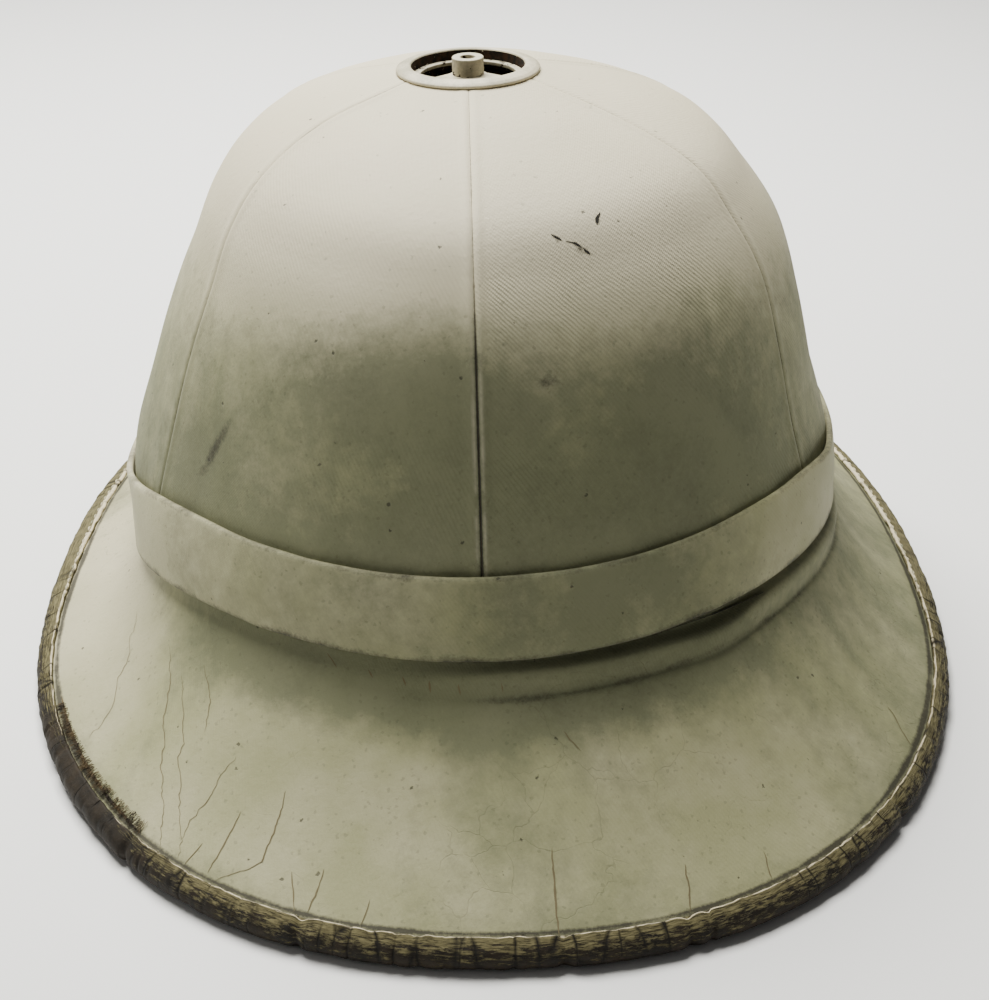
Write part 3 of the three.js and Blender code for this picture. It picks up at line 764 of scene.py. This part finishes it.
def brim_piece():
    stations = 720
    angle = np.linspace(0, TURN, stations, endpoint=False)[:, None]
    climb_out = np.concatenate([np.linspace(0, 0.62, 44), np.linspace(0.63, 1, 40)])[None, :]
    climb_in = np.linspace(1, 0, 16)[None, :]
    climb, turn = np.broadcast_arrays(climb_out, angle)
    face = face_at(climb, turn)
    normal = normal_at(climb, turn)
    degrees = signed(turn)
    distance = brim_distance(climb, turn)
    free = smooth(climb, 0.03, 0.2) * (1 - smooth(climb, 0.93, 1.0))
    waves = brim_waves(face) * free
    outer = face + normal * (waves + roll_form(degrees, distance))[..., None]
    back, turn_in = np.broadcast_arrays(climb_in, angle)
    inner = face_at(back, turn_in) - normal_at(back, turn_in) * CLOTH
    sections = np.concatenate([outer, inner], axis=1)
    rim = smooth(0.16 - climb, 0, 0.14)
    # under_band is painted shade on the brim just under the band, deeper at the band's slot; the crease below
    # the roll is drawn darker too.
    under_band = hump(distance, 3.2, 1.6) * (1 + 1.2 * hump(degrees, 34, 8))
    crease = hump(distance, 13.6, 1.3) * smooth(degrees, -14, 2) * (1 - smooth(degrees, 62, 95))
    # right darkens the +X side, away from the lamp, and shade the front of the brim near the band: painted
    # shade. The hump at -88 degrees in the film takes film off the -X side as painted light.
    right = smooth(degrees, 4, 70) * (1 - smooth(degrees, 150, 180))
    shade = hump(degrees, -2, 42) * smooth(climb, 0.46, 0.74)
    streaks = line_ripple(degrees + 4 * climb, 2.6, 42) * smooth(climb, 0.02, 0.2)
    streaks = streaks * (1 - smooth(climb, 0.5, 0.75))
    film_and_shade = 1.0 + 0.22 * right + 0.25 * shade - 0.50 * hump(degrees, -88, 26) + 0.12 * ripple(face, 30, 43)
    mould_and_shade = 0.44 + 0.12 * right + 0.80 * shade + 0.12 * ripple(face, 26, 8) + 0.16 * rim + 0.16 * streaks
    # lip is a dark line on the cloth at the binding, partly soot, partly painted shadow in the gap.
    lip = hump(distance, distance[:, :1] - lip_width(degrees) - 0.5, 1.1)
    soot_and_shade = 0.09 + 0.34 * under_band + 0.26 * crease + 0.55 * lip
    weave = 0.35 + 0 * mould_and_shade
    layers = {}
    dirt = (("film_and_shade", film_and_shade), ("mould_and_shade", mould_and_shade), ("soot_and_shade", soot_and_shade), ("wear_and_highlight", 0 * mould_and_shade), ("weave", weave))
    for name, values in dirt:
        layers[name] = np.concatenate([np.clip(values, 0, 1), np.zeros(back.shape)], axis=1)
    arc = np.radians(degrees) * 150
    uv_out = np.stack([arc, climb * 60], -1)
    uv_in = np.stack([np.radians(signed(turn_in)) * 150, back * 60], -1)
    piece = ring_piece("brim_cloth_cover", sections, brim_cloth,
                       np.concatenate([uv_out, uv_in], axis=1), layers)
    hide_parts("brim_cover")
    return piece


# ---------------------------------------------------------------- band

def band_piece():
    stations = 720
    angle = np.linspace(0, TURN, stations, endpoint=False)[:, None]
    degrees = signed(angle)
    slot = hump(degrees, 34, 7.5)
    lifted_left = hump(degrees, -84, 9)
    lifted_right = hump(degrees, 68, 6)
    shares = np.concatenate([[0.0, 0.0, 0.012, 0.035], np.linspace(0.08, 0.92, 14), [0.965, 0.988, 1.0, 1.0],
                             np.linspace(0.94, 0.06, 9)])[None, :]
    outs = np.concatenate([[0.12, 0.6, 0.88, 1.0], np.ones(14), [1.0, 0.88, 0.6, 0.12], np.zeros(9)])[None, :]
    foot = band_edge("foot", angle) + 1.6 * slot + 0.25 * line_ripple(degrees, 7, 11)
    top = band_edge("top", angle) + 0.3 * line_ripple(degrees, 9, 12)
    height = foot + (top - foot) * shares
    rise = rise_at(height)
    turn = angle + 0 * rise
    face = crown_at(rise, turn)
    along = crown_at(rise, turn + 0.01) - crown_at(rise, turn - 0.01)
    upward = crown_at(rise + 0.01, turn) - crown_at(rise - 0.01, turn)
    normal = np.cross(along, upward)
    normal /= np.linalg.norm(normal, axis=-1, keepdims=True)
    base = GAP + 0.9 * (1 - shares) ** 2
    away = base + BAND_THICKNESS * outs
    away = away + 1.5 * slot * (1 - shares) ** 3 + (0.9 * lifted_left + 1.1 * lifted_right) * shares**3
    slack = 0.35 * ripple(face, 16, 13) + 0.3 * line_ripple(degrees * 1.6, 14, 14)
    bulge = slack * outs * np.sin(math.pi * shares)
    points = face + normal * (away + bulge)[..., None]
    near_edge = np.maximum(hump(shares, 0, 0.10), 0.8 * hump(shares, 1, 0.07)) + 0 * angle
    soot_and_shade = 0.10 + 0.36 * near_edge
    # front makes film and mould heavier across the band's front: partly real soiling, partly painted shade.
    front = hump(degrees, 12, 48)
    film_and_shade = 0.80 + 0.22 * front + 0.1 * ripple(face, 28, 44)
    mould_and_shade = 0.40 + 0.40 * front - 0.18 * smooth(degrees, 20, 50) + 0.10 * ripple(face, 22, 15)
    wear_and_highlight = 0.9 * hump(shares, 0.97, 0.05) * smooth(-degrees, 55, 80)
    layers = {"film_and_shade": film_and_shade, "mould_and_shade": mould_and_shade, "soot_and_shade": soot_and_shade, "wear_and_highlight": wear_and_highlight, "weave": 0.35 + 0 * film_and_shade}
    layers = {name: np.clip(values, 0, 1) for name, values in layers.items()}
    uv = np.stack([np.radians(degrees) * 108 + 0 * shares, (shares * 22) + 0 * angle], -1)
    piece = ring_piece("band_strip", points, band_cloth, uv, layers)
    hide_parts("crown_band")
    return piece


# ---------------------------------------------------------------- binding

def lip_width(degrees):
    """The binding's upper lip: narrow and worn at the front, whole at the sides and back."""
    return 2.6 + 2.8 * smooth(np.abs(degrees), 68, 100)


BREAKS = (-18.5, 4.5, 16.5, -41.0, 47.0)


def binding_piece():
    stations = 1440
    angle = np.linspace(0, TURN, stations, endpoint=False)[:, None]
    degrees = signed(angle)
    down, up = edge_axes(angle)
    core = edge_core(angle)
    length = np.linalg.norm(brim_at(0 * angle + 0.15, angle) - brim_at(0 * angle, angle), axis=-1)
    ragged = 1 + 0.10 * line_ripple(degrees, 1.1, 21) + 0.08 * line_ripple(degrees, 4.0, 22)
    upper_lip = 0.15 * lip_width(degrees) / length * ragged
    lower_lip = 0.15 * 5.4 / length * ragged
    parts = []
    rounds = []
    shell_thickness = CLOTH + GLUE + SHELL_AT_EDGE

    def on_lip(lip, share, depth, mark):
        climb = lip * share
        parts.append(face_at(climb, angle) - normal_at(climb, angle) * depth)
        rounds.append(mark + 0 * angle)

    inner = EDGE_BODY + GAP
    top_skin = -GAP - LEATHER
    over = ((0.3, -GAP, 0.0), (0.98, -GAP, 0.0), (1.0, -GAP - LEATHER / 2, 0.0),
            (0.94, top_skin, 0.05), (0.7, top_skin, 0.12), (0.4, top_skin, 0.2))
    for share, depth, mark in over:
        on_lip(upper_lip, share, depth, mark)
    for step in range(13):
        turn = math.pi * (0.5 - step / 12)
        parts.append(core + up * NOSE * math.sin(turn) + down * NOSE * math.cos(turn))
        rounds.append(0.3 + 0.5 * step / 12 + 0 * angle)
    bed = shell_thickness + GAP
    under = ((0.4, bed + LEATHER, 0.85), (0.94, bed + LEATHER, 0.95), (1.0, bed + LEATHER / 2, 1.0),
             (0.98, bed, 1.0), (0.3, bed, 1.0))
    for share, depth, mark in under:
        on_lip(lower_lip, share, depth, mark)
    for step in range(9):
        turn = math.pi * (step / 8 - 0.5)
        parts.append(core + up * inner * math.sin(turn) + down * inner * math.cos(turn))
        rounds.append(0.5 + 0 * angle)
    points = np.stack([p[:, 0, :] for p in parts], axis=1)
    marks = np.stack([r[:, 0] for r in rounds], axis=1)
    outside = np.zeros(len(parts))
    outside[2:22] = 1
    outward = points - core[:, 0:1, :].reshape(-1, 1, 3)
    outward /= np.linalg.norm(outward, axis=-1, keepdims=True)
    lumps = 0.30 * ripple(points, 5.5, 23) + 0.2 * ripple(points, 2.2, 24)
    cuts = np.clip(line_ripple(degrees, 0.55, 25) - 0.32, 0, 1) * -1.3
    for place_of_break in BREAKS:
        cuts = cuts - 0.95 * hump(degrees, place_of_break + 0.5 * (ripple(points, 6, 26)[:, :1]), 0.42)
    rested = smooth(points[..., 2], 0.0, 1.2)
    points = points + outward * ((lumps + cuts) * outside * rested)[..., None]
    back = smooth(np.abs(degrees), 78, 112)
    upper = 1 - smooth(marks, 0.18, 0.42)
    # line is a painted highlight along the lip's rolled inner edge; the wear layer carries it with the real
    # wear.
    line = hump(marks, 0.04, 0.05)
    torn = 0.25 * hump(degrees, -52, 12)
    paint = 0.47 + 0.10 * upper + 0.24 * back - torn - 0.22 * smooth(marks, 0.40, 0.7)
    wear_and_highlight = 0.12 + 0.54 * line + 0.20 * back * upper - torn
    uv = np.stack([np.radians(degrees) * 150 + 0 * marks, marks * 22], -1)
    layers = {"paint": np.clip(paint, 0, 1)[:, ::-1], "wear_and_highlight": np.clip(wear_and_highlight, 0, 1)[:, ::-1]}
    piece = ring_piece("leather_binding", points[:, ::-1], binding_hide,
                       uv[:, ::-1], layers)
    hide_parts("edge_binding")
    return piece


# ---------------------------------------------------------------- shell

def shell_piece():
    angle = np.linspace(0, TURN, 288, endpoint=False)[:, None]
    outside = np.concatenate([np.linspace(0, 1, 18), np.linspace(1.03, 1.96, 24), [2.0]])
    depths_out = np.full(len(outside), CLOTH + GLUE + 0.15)
    inside = outside[::-1]
    depths_in = CLOTH + GLUE + SHELL_AT_EDGE + (SHELL - SHELL_AT_EDGE) * np.minimum(1, inside)
    climb = np.concatenate([outside, inside])[None, :]
    depth = np.concatenate([depths_out, depths_in])[None, :]
    climb, turn = np.broadcast_arrays(climb, angle)
    normal = normal_at(climb, turn)
    axis = np.array([-math.sin(CROWN_LEAN), 0, math.cos(CROWN_LEAN)])
    normal = np.where((climb >= 2)[..., None], axis, normal)
    face = face_at(climb, turn)
    rough = 0.35 * ripple(face, 7, 31) * (depth > 3)
    piece = ring_piece("pith_shell", face - normal * (depth + rough)[..., None], pith)
    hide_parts("helmet_shell")
    return piece


# ---------------------------------------------------------------- ventilator

def collar_piece():
    outline = softened([
        (COLLAR_HOLE, TUBE_FOOT), (COLLAR_TUBE, TUBE_FOOT), (COLLAR_TUBE, 0.3), (19.9, -0.32),
        (19.8, 0.35), (18.8, 0.95), (16.9, 1.4), (15.95, 1.4), (COLLAR_HOLE, 1.0),
        (COLLAR_HOLE, LEDGE_TOP), (LEDGE_RADIUS, LEDGE_TOP), (LEDGE_RADIUS, LEDGE_TOP - 1),
        (COLLAR_HOLE, LEDGE_TOP - 1),
    ], 0.25)
    heights = np.array(outline)[:, 1]
    radii = np.array(outline)[:, 0]
    hollow = ((radii < 15.75) & (heights < 1.0)).astype(float)
    bare = 0.50 * np.tile(hollow, (144, 1))
    piece = turned_piece("vent_collar_ring", outline, collar_steel, layers={"bare": bare})
    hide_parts("vent_collar")
    return piece


def spider_pieces():
    ring_outer = 15.3
    hole_inner = 5.3
    hole_outer = 13.3
    arms = 3
    top = -1.5
    thickness = 1.0

    def arm_edge(radius):
        share = (radius - hole_inner) / (hole_outer - hole_inner)
        return math.asin((3.0 + (1.5 - 3.0) * share) / radius)

    round_edge = np.linspace(0, TURN, 120, endpoint=False)
    outlines = [[(ring_outer * math.cos(a), ring_outer * math.sin(a)) for a in round_edge]]
    pitch = TURN / arms
    for arm in range(arms):
        first = TURN / 4 + arm * pitch
        corners = []
        for radius in np.linspace(hole_inner, hole_outer, 8):
            corners.append((radius, first + arm_edge(radius)))
        edge = arm_edge(hole_outer)
        for share in np.linspace(0, 1, 16)[1:-1]:
            corners.append((hole_outer, first + edge + (pitch - 2 * edge) * share))
        for radius in np.linspace(hole_outer, hole_inner, 8):
            corners.append((radius, first + pitch - arm_edge(radius)))
        outlines.append([(r * math.cos(a), r * math.sin(a)) for r, a in corners])
    curve = bpy.data.curves.new("spider_outline", "CURVE")
    curve.dimensions = "2D"
    curve.fill_mode = "BOTH"
    curve.extrude = (thickness / 2 - 0.15) * MM
    curve.bevel_depth = 0.15 * MM
    curve.bevel_resolution = 2
    curve.offset = -0.15 * MM
    for outline in outlines:
        spline = curve.splines.new("POLY")
        spline.points.add(len(outline) - 1)
        for point, (x, y) in zip(spline.points, outline):
            point.co = (x * MM, y * MM, 0, 1)
        spline.use_cyclic_u = True
    holder = bpy.data.objects.new("spider_outline", curve)
    bpy.context.collection.objects.link(holder)
    flat = bpy.data.meshes.new_from_object(holder.evaluated_get(bpy.context.evaluated_depsgraph_get()))
    bpy.data.objects.remove(holder)
    flat_points = np.zeros(len(flat.vertices) * 3)
    flat.vertices.foreach_get("co", flat_points)
    flat_points = flat_points.reshape(-1, 3) / MM
    faces = [list(p.vertices) for p in flat.polygons]
    middle = CROWN_ROWS[-1, 0] + top - thickness / 2
    at = lean(flat_points[:, 0], flat_points[:, 1], middle + flat_points[:, 2])
    bare = np.clip(0.18 + 0.14 * smooth(flat_points[:, 1], -2, 8), 0, 1)
    plate = mesh_piece("vent_spider_plate", at, faces, collar_steel, layers={"bare": bare})
    bpy.data.meshes.remove(flat)
    foot = top - thickness
    corners = [(BORE, foot), (BOSS_RADIUS, foot), (BOSS_RADIUS, BOSS_TOP), (BORE, BOSS_TOP)]
    outline = softened(corners, 0.35, 4)
    low = [0.46 * (1 - min(1, max(0, (h - top) / 4.2))) + (0.3 if r < 2.4 else 0.0) for r, h in outline]
    boss = turned_piece("vent_spider_boss", outline, collar_steel, 96,
                        layers={"bare": np.tile(low, (96, 1))})
    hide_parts("vent_spider")
    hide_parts("vent_spider")
    return [plate, boss]


# ---------------------------------------------------------------- cracks, threads and frays

def cloth_lift(middle, climb, angle):
    """How far the made cloth stands off its true form at one place."""
    at = middle[None, :]
    degrees = signed(np.array([angle]))
    climbs = np.array([climb])
    if climb > 1:
        return float(crown_dents(at, degrees, climbs)[0])
    free = float(smooth(climb, 0.03, 0.2) * (1 - smooth(climb, 0.93, 1.0)))
    return brim_waves(at)[0] * free + float(roll_form(degrees, brim_distance(climbs, np.array([angle])))[0])


def crack_mesh(name, cracks, made, lift=0.1):
    """Ribbons along the brim. A crack is (points as (degrees, climb), width at its middle, wander)."""
    rng = random.Random(7)
    points = []
    faces = []
    for path, width, wander in cracks:
        fine = []
        for (a0, c0), (a1, c1) in zip(path[:-1], path[1:]):
            here = face_at(c0, math.radians(a0))
            there = face_at(c1, math.radians(a1))
            steps = max(2, int(np.linalg.norm(there - here) / 0.8))
            for step in range(steps):
                share = step / steps
                fine.append((a0 + (a1 - a0) * share, c0 + (c1 - c0) * share))
        fine.append(path[-1])
        start = len(points)
        drift = rng.uniform(0, 100)
        for index, (degree, climb) in enumerate(fine):
            share = index / (len(fine) - 1)
            slide = wander * noise.noise(Vector((index * 0.11, drift, 0)))
            slide += 0.3 * wander * noise.noise(Vector((index * 0.5, drift, 5)))
            angle = math.radians(degree + slide)
            middle = face_at(climb, angle)
            out = normal_at(climb, angle)
            on = face_at(climb + 0.01, angle) - middle
            across = np.cross(out, on)
            across /= np.linalg.norm(across)
            half = width / 2 * (math.sin(math.pi * min(1, max(0, share))) ** 0.5 + 0.15)
            half *= 1 + 0.5 * noise.noise(Vector((index * 0.35, drift, 9)))
            base = middle + out * (cloth_lift(middle, climb, angle) + lift)
            points.append(base - across * half)
            points.append(base + across * half)
        for index in range(len(fine) - 1):
            a = start + index * 2
            faces.append((a, a + 1, a + 3, a + 2))
    return mesh_piece(name, np.array(points), faces, made)


CRACKS = [
    ([(-52, 0.61), (-48.5, 0.51), (-46.5, 0.36), (-42, 0.18), (-37, 0.05)], 0.26, 1.3),
    ([(-47, 0.54), (-42.5, 0.37), (-38.5, 0.2), (-34.5, 0.05)], 0.22, 1.2),
    ([(-30, 0.26), (-30.5, 0.14), (-30.5, 0.06)], 0.3, 0.6),
    ([(-25, 0.36), (-25, 0.15), (-29.5, 0.05)], 0.3, 0.7),
    ([(-17.5, 0.18), (-18, 0.05)], 0.3, 0.4),
    ([(-21.5, 0.15), (-19.5, 0.04)], 0.28, 0.4),
    ([(4.5, 0.27), (4.2, 0.15), (4.0, 0.03)], 0.4, 0.25),
    ([(18.5, 0.17), (17.0, 0.04)], 0.36, 0.4),
    ([(8.5, 0.6), (9.3, 0.56), (10, 0.53)], 0.26, 0.4),
    ([(-7.5, 0.80), (-7.3, 0.75)], 0.4, 0.2),
    ([(-3.6, 0.79), (-3.4, 0.745)], 0.4, 0.2),
    ([(-33, 0.13), (-33.6, 0.05)], 0.26, 0.4),
    ([(-12, 0.12), (-12.3, 0.04)], 0.24, 0.3),
    ([(28, 0.13), (27.2, 0.05)], 0.28, 0.4),
    ([(58, 0.2), (56.5, 0.06)], 0.3, 0.5),
    ([(140, 0.4), (137, 0.22), (139, 0.05)], 0.22, 1.2),
    ([(-128, 0.3), (-130, 0.06)], 0.32, 0.7),
    ([(176, 0.26), (177.5, 0.05)], 0.32, 0.6),
    ([(-66, 0.6), (-61, 0.45), (-58, 0.24), (-57, 0.12)], 0.2, 1.4),
    ([(-43, 0.62), (-40, 0.5), (-39, 0.42)], 0.2, 1.0),
    ([(-33, 0.4), (-35, 0.24), (-36, 0.1)], 0.2, 1.0),
    ([(-11, 0.81), (-10.6, 0.77)], 0.34, 0.2),
    ([(1.8, 0.79), (1.9, 0.752)], 0.34, 0.2),
    ([(-16, 0.82), (-15.2, 0.785)], 0.34, 0.2),
    ([(-22, 0.86), (-20.5, 0.80)], 0.3, 0.3),
]


def stitch_row():
    """The thread that shows on the binding's upper lip, round the sides and back."""
    rng = random.Random(3)
    points = []
    faces = []
    first = math.radians(84)
    degree = first
    sides = 6
    while degree < TURN - first:
        length = 2.6
        here = edge_core(np.array([degree]))[0]
        ahead = edge_core(np.array([degree + 0.01]))[0]
        step = 0.01 * length / np.linalg.norm(ahead - here)
        turn_here = np.array([degree])
        outer_run = brim_at(np.array([0.15]), turn_here)[0] - brim_at(np.array([0.0]), turn_here)[0]
        brim_length = np.linalg.norm(outer_run)
        climb = 0.15 * 4.2 / brim_length + rng.uniform(-0.0015, 0.0015)
        start = len(points)
        rings = 7
        for ring in range(rings):
            share = ring / (rings - 1)
            angle = degree + step * share
            base = face_at(climb, angle)
            out = normal_at(climb, angle)
            on = face_at(climb, angle + 0.01) - base
            on /= np.linalg.norm(on)
            across = np.cross(out, on)
            bow = math.sin(math.pi * share)
            radius = 0.12 + 0.24 * bow**0.6
            centre = base + out * (GAP + LEATHER - 0.1 + 0.22 * bow)
            for side in range(sides):
                turn = TURN * side / sides
                points.append(centre + across * radius * math.cos(turn) + out * radius * math.sin(turn))
        for ring in range(rings - 1):
            for side in range(sides):
                a = start + ring * sides + side
                b = start + ring * sides + (side + 1) % sides
                faces.append((a, b, b + sides, a + sides))
        faces.append(tuple(start + side for side in reversed(range(sides))))
        faces.append(tuple(start + (rings - 1) * sides + side for side in range(sides)))
        degree += step * 1.55
    return mesh_piece("binding_stitches", np.array(points), faces, stitch_thread)


def fray_piece():
    """Short torn fibres where the brim's cloth has pulled out of the binding."""
    rng = random.Random(11)
    points = []
    faces = []
    sides = 4
    for _ in range(420):
        degree = rng.uniform(-66, -41)
        climb = 0.082 + rng.uniform(-0.02, 0.010)
        angle = math.radians(degree)
        base = face_at(climb, angle)
        out = normal_at(climb, angle)
        down = face_at(max(climb - 0.02, 0), angle) - base
        down /= np.linalg.norm(down)
        across = np.cross(out, down)
        length = rng.uniform(0.8, 4.6) * (0.45 + 0.55 * math.sin(degree * 1.7) ** 2)
        lean_to = rng.uniform(-0.9, 0.9)
        start = len(points)
        rings = 5
        for ring in range(rings):
            share = ring / (rings - 1)
            along = down * share * length + across * lean_to * length * share**2
            centre = base + along + out * (0.35 + 1.1 * share * rng.uniform(0.4, 1.0))
            radius = 0.11 * (1 - 0.7 * share)
            for side in range(sides):
                turn = TURN * side / sides
                points.append(centre + across * radius * math.cos(turn) + out * radius * math.sin(turn))
        for ring in range(rings - 1):
            for side in range(sides):
                a = start + ring * sides + side
                b = start + ring * sides + (side + 1) % sides
                faces.append((a, b, b + sides, a + sides))
        faces.append(tuple(start + side for side in reversed(range(sides))))
        faces.append(tuple(start + (rings - 1) * sides + side for side in range(sides)))
    return mesh_piece("frayed_threads", np.array(points), faces, frayed)


TEARS = [
    ([(-67, 0.075), (-60, 0.070), (-54, 0.064), (-48, 0.060), (-41, 0.050)], 5.4, 0.3),
]

SCUFFS = [
    ([(15.8, 1.684), (17.6, 1.668)], 1.0, 0.3),
    ([(18.2, 1.666), (19.8, 1.660), (21.0, 1.648)], 0.9, 0.6),
    ([(21.4, 1.645), (22.4, 1.630)], 0.9, 0.4),
    ([(27.2, 1.708), (26.0, 1.698), (25.5, 1.686)], 0.9, 0.5),
]
# A dark ribbon under the band's slot: painted shadow in the opening.
GAPS = [
    ([(24.5, 0.892), (29, 0.884), (35, 0.868), (43.5, 0.853)], 3.4, 0.0),
]

gores = [crown_gore(number) for number in range(PANELS)]
brim = brim_piece()
band = band_piece()
binding = binding_piece()
shell_piece()
collar_piece()
spider_pieces()
cracks = crack_mesh("brim_cracks", CRACKS, crack_dirt)
tear = crack_mesh("brim_tear", TEARS, frayed, 0.2)
# The dark ribbon under the band's slot is a painted shadow.
slot_shadow_and_scuff_dark = crack_mesh("band_slot_painted_shadow", GAPS, slot_dark, 0.15)
scuffs = crack_mesh("crown_scuffs", SCUFFS, slot_dark, 0.06)
stitches = stitch_row()
fray = fray_piece()


# ---------------------------------------------------------------- camera, light and floor

def studio():
    lens = bpy.data.cameras.new("camera")
    lens.sensor_width = 36
    lens.lens = 60.0
    camera = bpy.data.objects.new("camera", lens)
    camera.location = (-0.0082, -0.4544, 0.2839)
    camera.rotation_euler = (math.radians(90 - 29.53), 0, math.radians(-1.18))
    bpy.context.collection.objects.link(camera)
    bpy.context.scene.camera = camera

    def soft_light(name, power, size, where, aim):
        lamp = bpy.data.lights.new(name, "AREA")
        lamp.energy = power
        lamp.size = size
        lamp.color = (1.0, 0.99, 0.93)
        lit = bpy.data.objects.new(name, lamp)
        lit.location = where
        lit.rotation_euler = (Vector(aim) - Vector(where)).to_track_quat("-Z", "Y").to_euler()
        bpy.context.collection.objects.link(lit)
        return lamp

    soft_light("overhead", 42, 0.8, (-0.22, 0.42, 1.05), (0, 0, 0.08))
    soft_light("left_fill", 1.0, 0.8, (-1.1, -0.3, 0.75), (0, 0, 0.08))
    world = bpy.data.worlds.new("room")
    world.use_nodes = True
    world.node_tree.nodes["Background"].inputs["Color"].default_value = (1.0, 0.99, 0.96, 1)
    world.node_tree.nodes["Background"].inputs["Strength"].default_value = 0.08
    bpy.context.scene.world = world

    reach = 3.0
    floor_mesh = bpy.data.meshes.new("floor")
    floor_mesh.from_pydata(
        [(-reach, -reach, 0), (reach, -reach, 0), (reach, reach, 0), (-reach, reach, 0)], [], [(0, 1, 2, 3)]
    )
    floor = bpy.data.objects.new("floor", floor_mesh)
    floor.location.z = cad_box[0][2]
    paper, tree, shader = material("pale_floor", 0.9)
    shader.inputs["Base Color"].default_value = (0.93, 0.93, 0.93, 1)
    floor_mesh.materials.append(paper)
    bpy.context.collection.objects.link(floor)


studio()
